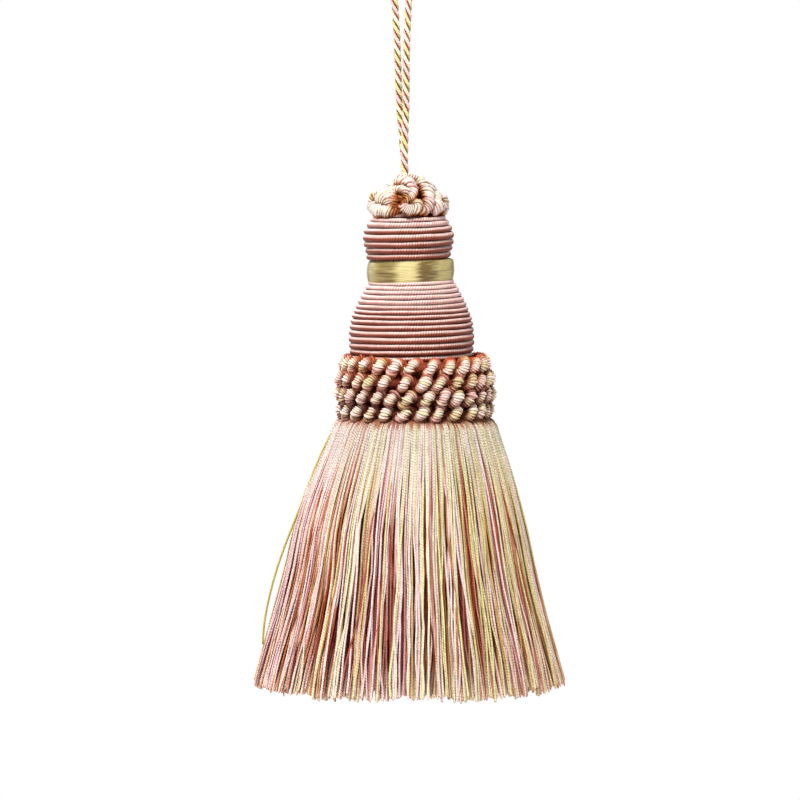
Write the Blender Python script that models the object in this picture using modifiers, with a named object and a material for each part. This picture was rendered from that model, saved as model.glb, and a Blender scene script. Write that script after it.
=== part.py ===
"""Key tassel: a cord loop, a looped rosette, a two-part gimp-covered head with a floss neck,
a rope collar and a cut skirt.

Metres, +Z up. The origin is the point of the loop that bears on whatever the tassel hangs from,
so every height below is how far that piece hangs beneath it.
"""
import math
import random

import bmesh
import bpy

MM = 0.001

# --- driving dimensions -------------------------------------------------------------------
GAP = 0.3 * MM                 # air between neighbouring pieces
HEAD_X = 2.2 * MM              # the head's axis, sideways from the point the loop hangs by

CORD_D = 1.9 * MM              # the three-ply hanging cord
LOOP_R = 4.3 * MM              # centreline radius of the loop's crown
CORD_FOOT_Z = -75.9 * MM       # where both legs of the loop enter the rosette

ROSETTE_LOOPS = 9              # cord loops round the rosette
TURN_STEPS = 44                # facets round the wound pieces

ROPE_D = 3.8 * MM              # the collar's two-ply rope
ROPE_BUMPS = 28                # rope strands that show in each course, all round
BUMP_DEPTH = 0.9 * MM          # the groove between two strands
COLLAR_TOP_Z = -121.0 * MM
COLLAR_BORE_R = 15.0 * MM
UPPER_X = -0.5 * MM            # the upper bulb and the rosette lean a little to one side,
LOWER_X = 0.25 * MM            # the lower bell to the other,
COLLAR_X = 1.1 * MM            # and the collar further

LOCKS = 40                     # main locks of the skirt
LOCK_STEPS = 3                 # facets across one lock
SKIRT_NECK_R = COLLAR_BORE_R - GAP
LOCK_DEPTH = 1.6 * MM          # groove between two locks at the cut edge
LOCK_NOTCH = 1.9 * MM          # how far the cut edge rises between two locks

# Rows run top to bottom: height and outer radius, in millimetres.
ROSETTE_ROWS = [
    {"z": -76.2, "r": 2.4, "lobe": 0.00},
    {"z": -76.8, "r": 4.2, "lobe": 0.04},
    {"z": -77.9, "r": 5.7, "lobe": 0.08},
    {"z": -79.4, "r": 7.1, "lobe": 0.12},
    {"z": -81.2, "r": 8.6, "lobe": 0.15},
    {"z": -83.0, "r": 9.5, "lobe": 0.17},
    {"z": -84.6, "r": 9.9, "lobe": 0.17},
    {"z": -85.8, "r": 9.4, "lobe": 0.14},
    {"z": -86.2, "r": 8.5, "lobe": 0.08},
]
UPPER_ROWS = [
    {"z": -86.5, "r": 8.7},
    {"z": -87.3, "r": 9.5},
    {"z": -88.3, "r": 10.1},
    {"z": -89.5, "r": 10.9},
    {"z": -90.9, "r": 11.4},
    {"z": -92.4, "r": 11.3},
    {"z": -94.0, "r": 10.9},
    {"z": -95.6, "r": 10.6},
    {"z": -97.2, "r": 10.5},
]
NECK_ROWS = [
    {"z": -97.5, "r": 10.5},
    {"z": -98.4, "r": 10.8},
    {"z": -99.9, "r": 10.9},
    {"z": -101.4, "r": 10.8},
    {"z": -102.3, "r": 10.5},
]
LOWER_ROWS = [
    {"z": -102.6, "r": 10.7},
    {"z": -104.4, "r": 11.9},
    {"z": -106.4, "r": 12.9},
    {"z": -108.4, "r": 13.8},
    {"z": -110.4, "r": 14.7},
    {"z": -112.4, "r": 15.3},
    {"z": -114.8, "r": 15.6},
    {"z": -117.4, "r": 15.7},
    {"z": -119.6, "r": 15.5},
    {"z": -120.7, "r": 15.1},
]
# The rope's four courses: the height and radius of the rope's own centre.
COLLAR_COURSES = [
    {"z": -122.9, "r": 16.8},
    {"z": -126.7, "r": 17.7},
    {"z": -130.5, "r": 17.9},
    {"z": -134.3, "r": 17.6},
]
# x is how far that section has swung sideways from the head's axis.
SKIRT_ROWS = [
    {"z": -136.5, "r": 14.7, "x": 1.1, "lock": 0.00},
    {"z": -136.9, "r": 18.3, "x": 1.1, "lock": 0.10},
    {"z": -138.4, "r": 20.5, "x": 1.1, "lock": 0.15},
    {"z": -144.5, "r": 23.0, "x": 0.8, "lock": 0.25},
    {"z": -152.0, "r": 25.7, "x": 0.4, "lock": 0.35},
    {"z": -162.0, "r": 28.6, "x": 0.0, "lock": 0.50},
    {"z": -174.0, "r": 31.1, "x": 0.0, "lock": 0.65},
    {"z": -186.0, "r": 34.3, "x": -0.1, "lock": 0.80},
    {"z": -196.0, "r": 37.2, "x": -0.2, "lock": 0.95},
    {"z": -203.0, "r": 38.9, "x": -0.3, "lock": 1.00},
]
SKIRT_NECK_TOP_Z = -121.0

# One leg of the hanging loop, top to bottom: the middle of the pair, how far the leg stands
# from it, and how far the pair has turned about its own axis (degrees).
CORD_ROWS = [
    {"z": -4.6, "mid": 0.00, "half": 4.28, "turn": 0.0},
    {"z": -10.0, "mid": 0.00, "half": 3.88, "turn": 0.0},
    {"z": -18.0, "mid": 0.00, "half": 3.08, "turn": 0.0},
    {"z": -26.0, "mid": 0.00, "half": 2.30, "turn": 0.0},
    {"z": -34.0, "mid": 0.00, "half": 1.66, "turn": 2.0},
    {"z": -42.0, "mid": 0.05, "half": 1.25, "turn": 8.0},
    {"z": -50.0, "mid": 0.12, "half": 1.08, "turn": 18.0},
    {"z": -57.0, "mid": 0.22, "half": 1.05, "turn": 34.0},
    {"z": -64.0, "mid": 0.38, "half": 1.05, "turn": 62.0},
    {"z": -70.0, "mid": 0.55, "half": 1.05, "turn": 82.0},
    {"z": -75.9, "mid": 0.80, "half": 1.05, "turn": 90.0},
]
LEG_POINTS = 21                # points along each leg
CROWN_POINTS = 11              # points round the crown, between the legs


# --- helpers ------------------------------------------------------------------------------
def clear_scene():
    for obj in list(bpy.data.objects):
        bpy.data.objects.remove(obj, do_unlink=True)


def material(name, colour, roughness):
    mat = bpy.data.materials.new(name)
    mat.use_nodes = True
    shader = mat.node_tree.nodes["Principled BSDF"]
    shader.inputs["Base Color"].default_value = (*colour, 1.0)
    shader.inputs["Roughness"].default_value = roughness
    shader.inputs["Metallic"].default_value = 0.0
    return mat


def place(obj, collection, axis, mat, x=0.0):
    """Puts an object in the tassel's collection, on the head's axis."""
    if obj.name not in collection.objects:
        collection.objects.link(obj)
    obj.parent = axis
    obj.location = (x, 0.0, 0.0)
    obj.data.materials.clear()
    obj.data.materials.append(mat)
    return obj


def smooth(obj):
    obj.data.shade_smooth()
    obj.data.set_sharp_from_angle(angle=math.radians(50.0))


def wave(t):
    """A rounded ridge: 1 in the middle of each whole turn of t, 0 between two ridges."""
    return 0.5 - 0.5 * math.cos(2.0 * math.pi * t)


def turned(name, rows):
    """A wound piece: its profile, closed on the axis, swept round by a Screw modifier."""
    points = [(0.0, rows[0]["z"])]
    points += [(row["r"], row["z"]) for row in rows]
    points += [(0.0, rows[-1]["z"])]
    mesh = bpy.data.meshes.new(name)
    verts = [(r * MM, 0.0, z * MM) for r, z in points]
    mesh.from_pydata(verts, [(i, i + 1) for i in range(len(verts) - 1)], [])
    obj = bpy.data.objects.new(name, mesh)
    screw = obj.modifiers.new("Turn", "SCREW")
    screw.axis = "Z"
    screw.steps = TURN_STEPS
    screw.render_steps = TURN_STEPS
    screw.use_merge_vertices = True
    screw.merge_threshold = 0.00001
    screw.use_smooth_shade = True
    return obj


def bundle(name, levels, segments, shape):
    """A round bundle: a capped cone cut at each level, whose rings are then shaped.

    levels run top to bottom; shape(level, angle) gives the ring point of that level.
    """
    top, bottom = levels[0], levels[-1]
    depth = (top["z"] - bottom["z"]) * MM
    bm = bmesh.new()
    bmesh.ops.create_cone(bm, cap_ends=True, cap_tris=True, segments=segments,
                          radius1=0.02, radius2=0.01, depth=depth)
    bmesh.ops.translate(bm, verts=bm.verts, vec=(0.0, 0.0, bottom["z"] * MM + depth / 2.0))
    for level in levels[1:-1]:
        bmesh.ops.bisect_plane(bm, geom=bm.verts[:] + bm.edges[:] + bm.faces[:], dist=1e-7,
                               plane_co=(0.0, 0.0, level["z"] * MM), plane_no=(0.0, 0.0, 1.0))
    for vert in bm.verts:
        level = min(levels, key=lambda row: abs(row["z"] * MM - vert.co.z))
        radius = math.hypot(vert.co.x, vert.co.y)
        if radius < 1e-6:
            vert.co.x = level.get("x", 0.0) * MM
            vert.co.z = level["z"] * MM + level.get("dish", 0.0) * MM
            continue
        vert.co = shape(level, math.atan2(vert.co.y, vert.co.x) % (2.0 * math.pi))
    bm.normal_update()
    mesh = bpy.data.meshes.new(name)
    bm.to_mesh(mesh)
    bm.free()
    return bpy.data.objects.new(name, mesh)


# --- pieces -------------------------------------------------------------------------------
def blend_rows(rows, t, keys):
    """Reads a table at a share t of the way down it, on a smooth curve through its rows."""
    spot = t * (len(rows) - 1)
    i = min(int(spot), len(rows) - 2)
    f = spot - i
    out = {}
    for key in keys:
        p = [rows[min(max(i + k, 0), len(rows) - 1)][key] for k in (-1, 0, 1, 2)]
        out[key] = 0.5 * (2.0 * p[1] + (p[2] - p[0]) * f
                          + (2.0 * p[0] - 5.0 * p[1] + 4.0 * p[2] - p[3]) * f * f
                          + (3.0 * (p[1] - p[2]) + p[3] - p[0]) * f ** 3)
    return out


def leg_points(side):
    """The centreline of one leg, top to bottom. side is -1 for the left leg, 1 for the right."""
    points = []
    for i in range(LEG_POINTS):
        row = blend_rows(CORD_ROWS, i / (LEG_POINTS - 1), ("z", "mid", "half", "turn"))
        turn = math.radians(row["turn"])
        points.append((
            (row["mid"] + side * row["half"] * math.cos(turn)) * MM,
            -side * row["half"] * math.sin(turn) * MM,
            row["z"] * MM,
        ))
    return points


def cord_route():
    """Up the left leg, over the crown and down the right leg."""
    crown_z = -LOOP_R + CORD_D / 2.0
    crown = []
    for i in range(CROWN_POINTS):
        a = math.pi * (1.0 - i / (CROWN_POINTS - 1))
        crown.append((LOOP_R * math.cos(a), 0.0, crown_z + LOOP_R * math.sin(a)))
    return list(reversed(leg_points(-1))) + crown + leg_points(1)


def hanging_cord(collection, mat):
    curve = bpy.data.curves.new("hanging_cord", "CURVE")
    curve.dimensions = "3D"
    route = cord_route()
    spline = curve.splines.new("POLY")
    spline.points.add(len(route) - 1)
    for point, co in zip(spline.points, route):
        point.co = (*co, 1.0)
    curve.bevel_depth = CORD_D / 2.0
    curve.bevel_resolution = 2
    curve.resolution_u = 1
    curve.render_resolution_u = 0
    curve.use_fill_caps = True
    obj = bpy.data.objects.new("hanging_cord", curve)
    collection.objects.link(obj)
    curve.materials.append(mat)
    return obj


def rosette_ring(level, angle):
    """Each loop of cord stands out as one lobe of the rosette."""
    lobe = level["lobe"] * (wave(angle * ROSETTE_LOOPS / (2.0 * math.pi)) - 0.75)
    radius = level["r"] * (1.0 + lobe) * MM
    return radius * math.cos(angle), radius * math.sin(angle), level["z"] * MM


def collar(name):
    """Four courses of two-ply rope, one on another, round the top of the skirt."""
    half = ROPE_D / 2.0
    top = COLLAR_TOP_Z
    bottom = COLLAR_COURSES[-1]["z"] * MM - half
    profile = [(COLLAR_COURSES[0]["r"] * MM - 0.2 * MM, top)]
    for course in COLLAR_COURSES:
        for degrees in (58.0, 22.0, -22.0, -58.0):
            a = math.radians(degrees)
            profile.append((course["r"] * MM + half * math.cos(a),
                            course["z"] * MM + half * math.sin(a)))
    profile += [(COLLAR_COURSES[-1]["r"] * MM - 0.2 * MM, bottom),
                (COLLAR_BORE_R, bottom + 0.4 * MM),
                (COLLAR_BORE_R, top - 0.4 * MM)]
    mesh = bpy.data.meshes.new(name)
    count = len(profile)
    mesh.from_pydata([(r, 0.0, z) for r, z in profile], [(i, (i + 1) % count) for i in range(count)], [])
    source = bpy.data.objects.new(name + "_profile", mesh)
    bpy.context.scene.collection.objects.link(source)
    screw = source.modifiers.new("Turn", "SCREW")
    screw.axis = "Z"
    screw.steps = ROPE_BUMPS * 2
    screw.render_steps = ROPE_BUMPS * 2
    screw.use_merge_vertices = True
    screw.merge_threshold = 0.00001
    bpy.context.view_layer.update()
    shape = bpy.data.meshes.new_from_object(source.evaluated_get(bpy.context.evaluated_depsgraph_get()))
    bpy.data.objects.remove(source)
    shape.name = name
    # Every strand of the rope stands out as one bump, and each course is half a bump further on.
    for vert in shape.vertices:
        radius = math.hypot(vert.co.x, vert.co.y)
        if radius < COLLAR_BORE_R + 1.8 * MM:
            continue
        angle = math.atan2(vert.co.y, vert.co.x)
        i = min(range(len(COLLAR_COURSES)), key=lambda k: abs(COLLAR_COURSES[k]["z"] * MM - vert.co.z))
        across = abs(COLLAR_COURSES[i]["z"] * MM - vert.co.z) / half
        ridge = wave(angle * ROPE_BUMPS / (2.0 * math.pi) + 0.5 * i)
        radius -= BUMP_DEPTH * (1.0 - ridge) * (1.0 - 0.5 * across)
        vert.co.x = radius * math.cos(angle)
        vert.co.y = radius * math.sin(angle)
    return bpy.data.objects.new(name, shape)


def skirt_shape():
    """Each lock of the skirt is cut to its own length and stands out by its own amount."""
    rng = random.Random(11)
    tips = [rng.uniform(-0.5, 0.5) for _ in range(LOCKS)]
    bulge = [rng.uniform(-0.35, 0.35) for _ in range(LOCKS)]

    def ring(level, angle):
        spot = angle * LOCKS / (2.0 * math.pi)
        lock = int(spot + 1e-6) % LOCKS
        ridge = min(1.0, wave(spot) / 0.75)
        radius = level["r"] * MM - LOCK_DEPTH * level["lock"] * (1.0 - ridge)
        radius += bulge[lock] * MM * level["lock"] * ridge
        z = level["z"] * MM
        if level is SKIRT_ROWS[-1]:
            z += LOCK_NOTCH * (1.0 - ridge) + tips[lock] * MM * ridge
        x = level["x"] * MM
        return x + radius * math.cos(angle), radius * math.sin(angle), z

    return ring


def build():
    clear_scene()
    collection = bpy.data.collections.new("key_tassel")
    bpy.context.scene.collection.children.link(collection)
    axis = bpy.data.objects.new("head_axis", None)
    collection.objects.link(axis)
    axis.location = (HEAD_X, 0.0, 0.0)

    cord_yarn = material("cord_yarn", (0.78, 0.66, 0.40), 0.55)
    rope_yarn = material("rope_yarn", (0.80, 0.66, 0.50), 0.60)
    gimp = material("pink_gimp", (0.74, 0.45, 0.39), 0.50)
    floss = material("gold_floss", (0.66, 0.60, 0.32), 0.35)
    fringe = material("fringe_yarn", (0.82, 0.68, 0.58), 0.60)

    hanging_cord(collection, cord_yarn)

    rosette = bundle("rosette", ROSETTE_ROWS, ROSETTE_LOOPS * 6, rosette_ring)
    smooth(place(rosette, collection, axis, rope_yarn, UPPER_X))

    place(turned("upper_winding", UPPER_ROWS), collection, axis, gimp, UPPER_X)
    place(turned("neck_band", NECK_ROWS), collection, axis, floss)
    place(turned("lower_winding", LOWER_ROWS), collection, axis, gimp, LOWER_X)

    smooth(place(collar("collar"), collection, axis, rope_yarn, COLLAR_X))

    neck_top = {"z": SKIRT_NECK_TOP_Z, "r": SKIRT_NECK_R / MM, "x": COLLAR_X / MM, "lock": 0.0}
    SKIRT_ROWS[-1]["dish"] = 1.2
    skirt = bundle("skirt", [neck_top] + SKIRT_ROWS, LOCKS * LOCK_STEPS, skirt_shape())
    smooth(place(skirt, collection, axis, fringe))


build()
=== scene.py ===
"""The finished look of a key tassel: three-ply cord loop, looped rosette, gimp-covered head,
floss neck band, a collar of wrapped strand coiled round a core, and a cut skirt of twisted yarns.

Everything is worked out in millimetres, on the head's own axis, and scaled when it is written.
Heights are measured down from the point that the loop hangs by.
"""

import math

import bpy
import numpy as np
from mathutils import Matrix, Vector


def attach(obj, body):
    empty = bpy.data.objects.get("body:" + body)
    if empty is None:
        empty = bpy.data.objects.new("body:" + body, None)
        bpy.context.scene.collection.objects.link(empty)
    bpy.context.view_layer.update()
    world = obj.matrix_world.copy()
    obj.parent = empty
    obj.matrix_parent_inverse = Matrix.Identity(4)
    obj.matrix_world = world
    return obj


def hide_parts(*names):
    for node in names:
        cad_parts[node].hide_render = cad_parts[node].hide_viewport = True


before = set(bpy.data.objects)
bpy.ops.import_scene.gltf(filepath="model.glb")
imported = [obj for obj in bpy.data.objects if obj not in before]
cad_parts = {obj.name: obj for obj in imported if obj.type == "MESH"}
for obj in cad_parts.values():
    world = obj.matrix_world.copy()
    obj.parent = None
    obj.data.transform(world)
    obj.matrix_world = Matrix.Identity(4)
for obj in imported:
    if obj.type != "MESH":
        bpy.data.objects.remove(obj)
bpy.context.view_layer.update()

MM = 0.001
TAU = 2.0 * math.pi
HEAD_X = 2.2                   # the head's axis, sideways from the point the loop hangs by
UP = np.array([0.0, 0.0, 1.0])
FRONT = -math.pi / 2.0         # the angle, about the head's axis, of the side seen first

# --- tables: the same forms as the solids' -------------------------------------------------
CORD_D = 1.9
LOOP_R = 4.3
CORD_ROWS = [                  # z, middle of the two legs, half their spread, turn of the pair
    (-4.6, 0.00, 4.28, 0.0),
    (-10.0, 0.00, 3.88, 0.0),
    (-18.0, 0.00, 3.08, 0.0),
    (-26.0, 0.00, 2.30, 0.0),
    (-34.0, 0.00, 1.66, 2.0),
    (-42.0, 0.05, 1.25, 8.0),
    (-50.0, 0.12, 1.08, 18.0),
    (-57.0, 0.22, 1.05, 34.0),
    (-64.0, 0.38, 1.05, 62.0),
    (-70.0, 0.55, 1.05, 82.0),
    (-75.9, 0.80, 1.05, 90.0),
]
ROSETTE_X = -0.5
UPPER_X = -0.5
LOWER_X = 0.25
COLLAR_X = 1.1
UPPER_ROWS = [                 # z, outer radius
    (-85.2, 8.3), (-86.5, 9.5), (-87.3, 10.0), (-88.3, 10.5), (-89.5, 11.1), (-90.9, 11.45),
    (-92.4, 11.3), (-94.0, 10.95), (-95.6, 10.6), (-97.2, 10.5),
]
NECK_ROWS = [
    (-96.9, 10.3), (-97.4, 10.62), (-98.4, 10.8), (-99.7, 10.9), (-101.0, 10.8),
    (-101.9, 10.6), (-102.4, 10.3),
]
LOWER_ROWS = [
    (-101.8, 10.5), (-102.6, 10.9), (-104.4, 12.0), (-106.4, 13.0), (-108.4, 13.9),
    (-110.4, 14.75), (-112.4, 15.3), (-114.8, 15.65), (-117.4, 15.7), (-119.6, 15.5),
    (-121.8, 15.1), (-123.4, 14.8),
]
# The heights, at the front, where one turn of gimp meets the next.
UPPER_TURNS = [-84.9, -86.1, -87.1, -88.65, -90.12, -91.95, -93.5, -95.0, -96.6, -98.1]
LOWER_TURNS = [
    -100.7, -101.9, -102.9, -104.05, -105.05, -106.4, -107.7, -108.9, -109.97, -111.3,
    -112.5, -114.0, -115.5, -117.2, -118.7, -120.25, -121.75, -123.2,
]
COLLAR_COURSES = [(-122.9, 16.8), (-126.7, 17.7), (-130.5, 17.9), (-134.3, 17.6)]
SKIRT_ROWS = [                 # z, outer radius, sideways swing
    (-134.6, 15.6, 1.1),
    (-136.0, 18.0, 1.1),
    (-136.9, 19.5, 1.1),
    (-138.4, 20.7, 1.1),
    (-141.0, 21.6, 0.95),
    (-144.5, 23.0, 0.8),
    (-152.0, 25.7, 0.4),
    (-162.0, 28.6, 0.0),
    (-174.0, 31.1, 0.0),
    (-186.0, 34.3, -0.1),
    (-196.0, 37.2, -0.2),
    (-203.0, 39.0, -0.3),
]


# --- small sums ----------------------------------------------------------------------------
def paint(red, green, blue):
    """A colour as a paint card gives it, 0 to 255, in linear light."""
    c = np.array([red, green, blue]) / 255.0
    return np.where(c <= 0.04045, c / 12.92, ((c + 0.055) / 1.055) ** 2.4)


def unit(v):
    return v / np.maximum(np.linalg.norm(v, axis=-1, keepdims=True), 1e-12)


def step(x, low, high):
    """Rises softly from 0 at low to 1 at high."""
    t = np.clip((x - low) / (high - low), 0.0, 1.0)
    return t * t * (3.0 - 2.0 * t)


def through(x, y, at):
    """A smooth curve through a table's points, read at the given places."""
    x, y, at = np.asarray(x, float), np.asarray(y, float), np.asarray(at, float)
    if x[0] > x[-1]:
        x, y = x[::-1], y[::-1]
    slope = np.gradient(y, x)
    i = np.clip(np.searchsorted(x, at) - 1, 0, len(x) - 2)
    w = x[i + 1] - x[i]
    t = np.clip((at - x[i]) / w, 0.0, 1.0)
    return ((2 * t ** 3 - 3 * t ** 2 + 1) * y[i] + (t ** 3 - 2 * t ** 2 + t) * w * slope[i]
            + (3 * t ** 2 - 2 * t ** 3) * y[i + 1] + (t ** 3 - t ** 2) * w * slope[i + 1])


def radius_at(rows, z):
    return through([r[0] for r in rows], [r[1] for r in rows], z)


def spread_evenly(line, gap, closed=False):
    """The same line with its points a given distance apart; columns after the third come too."""
    line = np.asarray(line, float)
    if closed:
        line = np.vstack([line, line[:1]])
    s = np.concatenate([[0.0], np.cumsum(np.linalg.norm(np.diff(line[:, :3], axis=0), axis=1))])
    n = max(int(round(s[-1] / gap)), 3)
    at = np.linspace(0.0, s[-1], n + 1)
    out = np.stack([np.interp(at, s, line[:, k]) for k in range(line.shape[1])], axis=1)
    return out[:-1] if closed else out


def tangents(line, closed):
    if closed:
        return unit(np.roll(line, -1, axis=-2) - np.roll(line, 1, axis=-2))
    t = np.empty_like(line)
    t[..., 1:-1, :] = line[..., 2:, :] - line[..., :-2, :]
    t[..., 0, :] = line[..., 1, :] - line[..., 0, :]
    t[..., -1, :] = line[..., -1, :] - line[..., -2, :]
    return unit(t)


def carried(line, first):
    """A direction across the line, carried along it with no twist."""
    t = tangents(line, False)
    out = np.empty_like(line)
    n = np.asarray(first, float)
    for i in range(len(line)):
        n = unit(n - (n @ t[i]) * t[i])
        out[i] = n
    return out


# --- meshes made of tubes ------------------------------------------------------------------
class Tubes:
    """Gathers tubes and writes them out together as one mesh."""

    def __init__(self):
        self.blocks = []

    def add(self, line, out, radius, sides, tint, closed=False, oval=1.0, along=None, twist=1.0):
        """line and out are (tubes, rings, 3); radius and tint may vary by tube, ring and side.

        out is the way each tube's outer side faces: the seam is on the other side. twist is how
        plainly a yarn's twist shows, in the shade painted in its grooves and, on twisted yarn, in its bumps.
        """
        line = np.asarray(line, float)
        if line.ndim == 2:
            line = line[None]
        count, rings, _ = line.shape
        out = np.broadcast_to(out, line.shape)
        t = tangents(line, closed)
        n = unit(out - (out * t).sum(-1, keepdims=True) * t)
        b = np.cross(t, n)
        a = TAU * np.arange(sides) / sides + math.pi
        radius = np.broadcast_to(np.asarray(radius, float), (count, rings, sides))
        oval = np.broadcast_to(np.asarray(oval, float), (count, rings, 1))
        verts = (line[:, :, None, :]
                 + radius[..., None] * (np.cos(a)[:, None] * n[:, :, None, :]
                                        + (oval * np.sin(a))[..., None] * b[:, :, None, :]))
        if along is None:
            gaps = np.linalg.norm(np.diff(line, axis=1), axis=2)
            along = np.concatenate([np.zeros((count, 1)), np.cumsum(gaps, axis=1)], axis=1)
        along = np.broadcast_to(along, (count, rings))
        if closed:
            last = along[:, -1:] + np.linalg.norm(line[:, :1] - line[:, -1:], axis=2)
            along = np.concatenate([along, last], axis=1)
        tint = np.broadcast_to(np.asarray(tint, float), (count, rings, sides, 3))
        twist = np.broadcast_to(np.asarray(twist, float), (count, rings, sides, 1))
        tint = np.concatenate([tint, twist], axis=-1)
        self.blocks.append((verts, along, tint, closed))
        return self

    def make(self, name, look):
        verts, tints, corners, starts, yarn, bake, smooth = [], [], [], [], [], [], []
        base = loops = 0
        rows = sum(v.shape[0] * (v.shape[1] - (0 if c else 1)) for v, _, _, c in self.blocks)
        caps = sum(2 * v.shape[0] for v, _, _, c in self.blocks if not c)
        most = max(v.shape[2] for v, _, _, _ in self.blocks)
        # Every tube keeps its own strip of the baking map, its ends a patch below the strips.
        shape = 0.0
        for v, _, _, c in self.blocks:
            length = np.linalg.norm(v[:, 1:, 0] - v[:, :-1, 0], axis=-1).mean()
            width = np.linalg.norm(v[:, :, 1] - v[:, :, 0], axis=-1).mean()
            shape += v.shape[0] * v.shape[1] * length / max(width, 1e-6)
        shape /= max(rows, 1)
        columns = max(1, int(round(math.sqrt(max(shape, 0.05) * rows / most))))
        per = math.ceil(rows / columns)
        floor = 0.0 if caps == 0 else 0.08
        patch = max(1, math.ceil(math.sqrt(caps * 12.0)))
        row = cap = 0
        for v, along, tint, closed in self.blocks:
            count, rings, sides, _ = v.shape
            bands = rings if closed else rings - 1
            index = base + np.arange(count * rings * sides).reshape(count, rings, sides)
            if closed:
                index = np.concatenate([index, index[:, :1]], axis=1)
            near, far = index[:, :-1], index[:, 1:]
            quad = np.stack([near, np.roll(near, -1, 2), np.roll(far, -1, 2), far], axis=-1)
            corners.append(quad.reshape(-1))
            n = count * bands * sides
            starts.append(loops + 4 * np.arange(n))
            loops += 4 * n
            smooth.append(np.ones(n, bool))
            u = np.arange(sides + 1) / sides
            uv = np.empty((count, bands, sides, 4, 2))
            for k, (du, dv) in enumerate(((0, 0), (1, 0), (1, 1), (0, 1))):
                uv[..., k, 0] = u[du:du + sides]
                uv[..., k, 1] = along[:, dv:dv + bands, None]
            yarn.append(uv.reshape(-1, 2))
            place = (row + np.arange(count * bands)).reshape(count, bands)
            column, down = place // per, place % per
            uv = np.empty((count, bands, sides, 4, 2))
            for k, (du, dv) in enumerate(((0, 0), (1, 0), (1, 1), (0, 1))):
                across = 0.04 + 0.92 * u[du:du + sides] * sides / most
                uv[..., k, 0] = (column[..., None] + across) / columns
                uv[..., k, 1] = floor + (1.0 - floor) * (0.002 + 0.996 * (down[..., None] + dv) / per)
            bake.append(uv.reshape(-1, 2))
            row += count * bands
            if not closed:
                ends = np.concatenate([index[:, 0, ::-1], index[:, -1]], axis=0)
                corners.append(ends.reshape(-1))
                starts.append(loops + sides * np.arange(2 * count))
                loops += 2 * count * sides
                smooth.append(np.zeros(2 * count, bool))
                uv = np.empty((2 * count, sides, 2))
                uv[..., 0] = np.arange(sides) / sides
                uv[..., 1] = np.concatenate([along[:, 0], along[:, -1]])[:, None]
                yarn.append(uv.reshape(-1, 2))
                spot = cap + np.arange(2 * count)
                angle = TAU * np.arange(sides) / sides
                uv = np.empty((2 * count, sides, 2))
                uv[..., 0] = ((spot % patch)[:, None] + 0.5 + 0.4 * np.cos(angle)) / patch
                uv[..., 1] = ((spot // patch)[:, None] + 0.5 + 0.4 * np.sin(angle)) * 0.94 * floor / (
                    math.ceil(caps / patch))
                bake.append(uv.reshape(-1, 2))
                cap += 2 * count
            verts.append(v.reshape(-1, 3))
            tints.append(tint.reshape(-1, 4))
            base += count * rings * sides
        verts, tints = np.concatenate(verts) * MM, np.concatenate(tints)
        corners, starts = np.concatenate(corners), np.concatenate(starts)
        mesh = bpy.data.meshes.new(name)
        mesh.vertices.add(len(verts))
        mesh.vertices.foreach_set("co", verts.astype(np.float32).ravel())
        mesh.loops.add(len(corners))
        mesh.loops.foreach_set("vertex_index", corners.astype(np.int32))
        mesh.polygons.add(len(starts))
        mesh.polygons.foreach_set("loop_start", starts.astype(np.int32))
        mesh.polygons.foreach_set("use_smooth", np.concatenate(smooth))
        mesh.update(calc_edges=True)
        mesh.uv_layers.new(name="yarn").data.foreach_set(
            "uv", np.concatenate(yarn).astype(np.float32).ravel())
        mesh.uv_layers.new(name="OFBake").data.foreach_set(
            "uv", np.concatenate(bake).astype(np.float32).ravel())
        colour = np.clip(tints, 0.0, 1.0).astype(np.float32)
        mesh.color_attributes.new("tint", "FLOAT_COLOR", "POINT").data.foreach_set(
            "color", colour.ravel())
        mesh.validate()
        mesh.materials.append(look)
        obj = bpy.data.objects.new(name, mesh)
        bpy.context.scene.collection.objects.link(obj)
        return obj


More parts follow.
